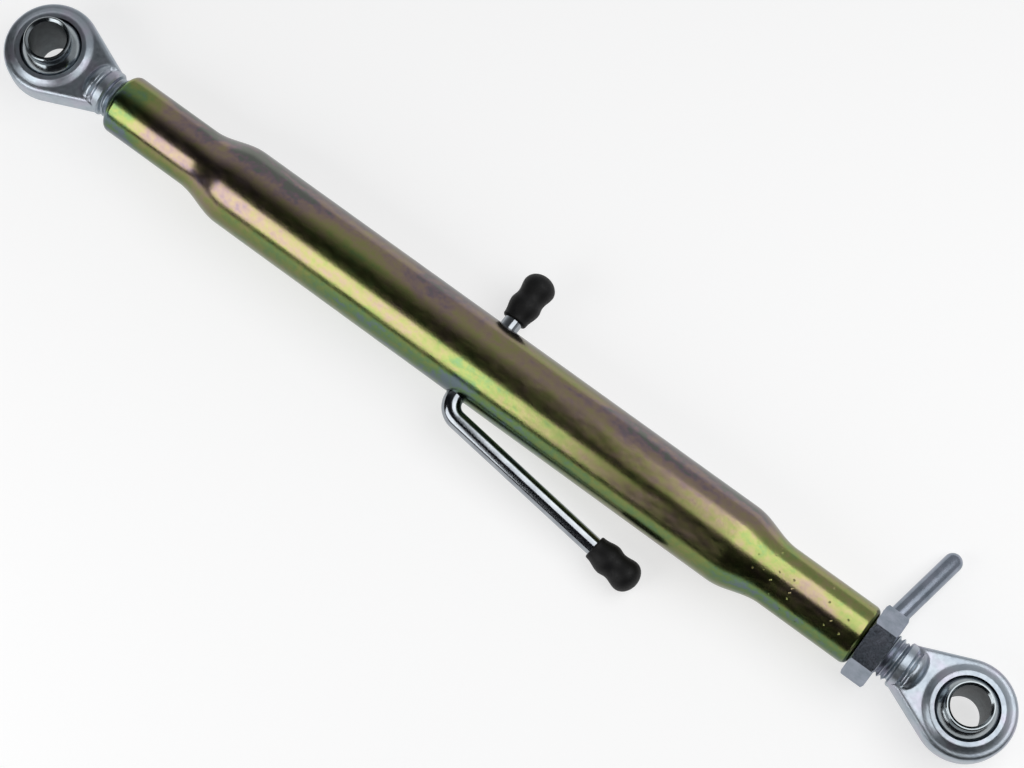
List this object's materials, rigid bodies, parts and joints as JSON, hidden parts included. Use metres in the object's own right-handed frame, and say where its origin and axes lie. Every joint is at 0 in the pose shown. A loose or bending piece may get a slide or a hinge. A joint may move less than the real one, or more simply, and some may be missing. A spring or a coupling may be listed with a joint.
{
  "type": "tractor top link",
  "caption": "Screw-adjusted tractor top link with a swaged tube, forged ball ends, a lock nut and a bent turning bar with moulded grips.",
  "frame": {"origin": "centre of the tractor end's ball", "axes": "+X along the link towards the implement end, +Z along the pin bores, away from the surface that the link lies on"},
  "size_m": [0.803, 0.151, 0.0569],
  "materials": {
    "passivated_steel": "yellow passivated zinc on steel tube",
    "zinc_steel": "blue passivated zinc on forged steel",
    "bright_steel": "bright zinc on turned and drawn steel",
    "moulded_grip": "black moulded plastic"
  },
  "bodies": {
    "tractor_end": {"tractor_spindle": "zinc_steel"},
    "tractor_ball": {"tractor_ball": "bright_steel"},
    "lock_nut": {"lock_nut": "zinc_steel", "lock_nut_lever": "zinc_steel"},
    "tube": {"tube": "passivated_steel"},
    "handle": {"handle_rod": "bright_steel", "long_arm_grip": "moulded_grip", "short_arm_grip": "moulded_grip"},
    "implement_end": {"implement_spindle": "zinc_steel"},
    "implement_ball": {"implement_ball": "bright_steel"}
  },
  "joints": [
    {"name": "nut_travel", "type": "slide", "parent": "tractor_end", "child": "lock_nut", "axis": [1, 0, 0], "range_m": [-0.007, 0.126]},
    {"name": "tube_turn", "type": "hinge", "parent": "lock_nut", "child": "tube", "pos_m": [0.3595, 0, 0], "axis": [1, 0, 0], "range_deg": [-720, 12960]},
    {"name": "implement_travel", "type": "slide", "parent": "lock_nut", "child": "implement_end", "axis": [1, 0, 0], "range_m": [-0.007, 0.126]},
    {"name": "handle_swing", "type": "hinge", "parent": "tube", "child": "handle", "pos_m": [0.3595, 0, 0], "axis": [0, 1, 0], "continuous": true},
    {"name": "tractor_ball_sway", "type": "hinge", "parent": "tractor_end", "child": "tractor_ball", "pos_m": [0, 0, 0], "axis": [0, 1, 0], "range_deg": [-14, 14]},
    {"name": "implement_ball_sway", "type": "hinge", "parent": "implement_end", "child": "implement_ball", "pos_m": [0.738, 0, 0], "axis": [0, 1, 0], "range_deg": [-14, 14]}
  ],
  "couplings": [
    {"joint": "nut_travel", "follows": "tube_turn", "m_per_rad": 0.00055704},
    {"joint": "implement_travel", "follows": "tube_turn", "m_per_rad": 0.00055704}
  ]
}
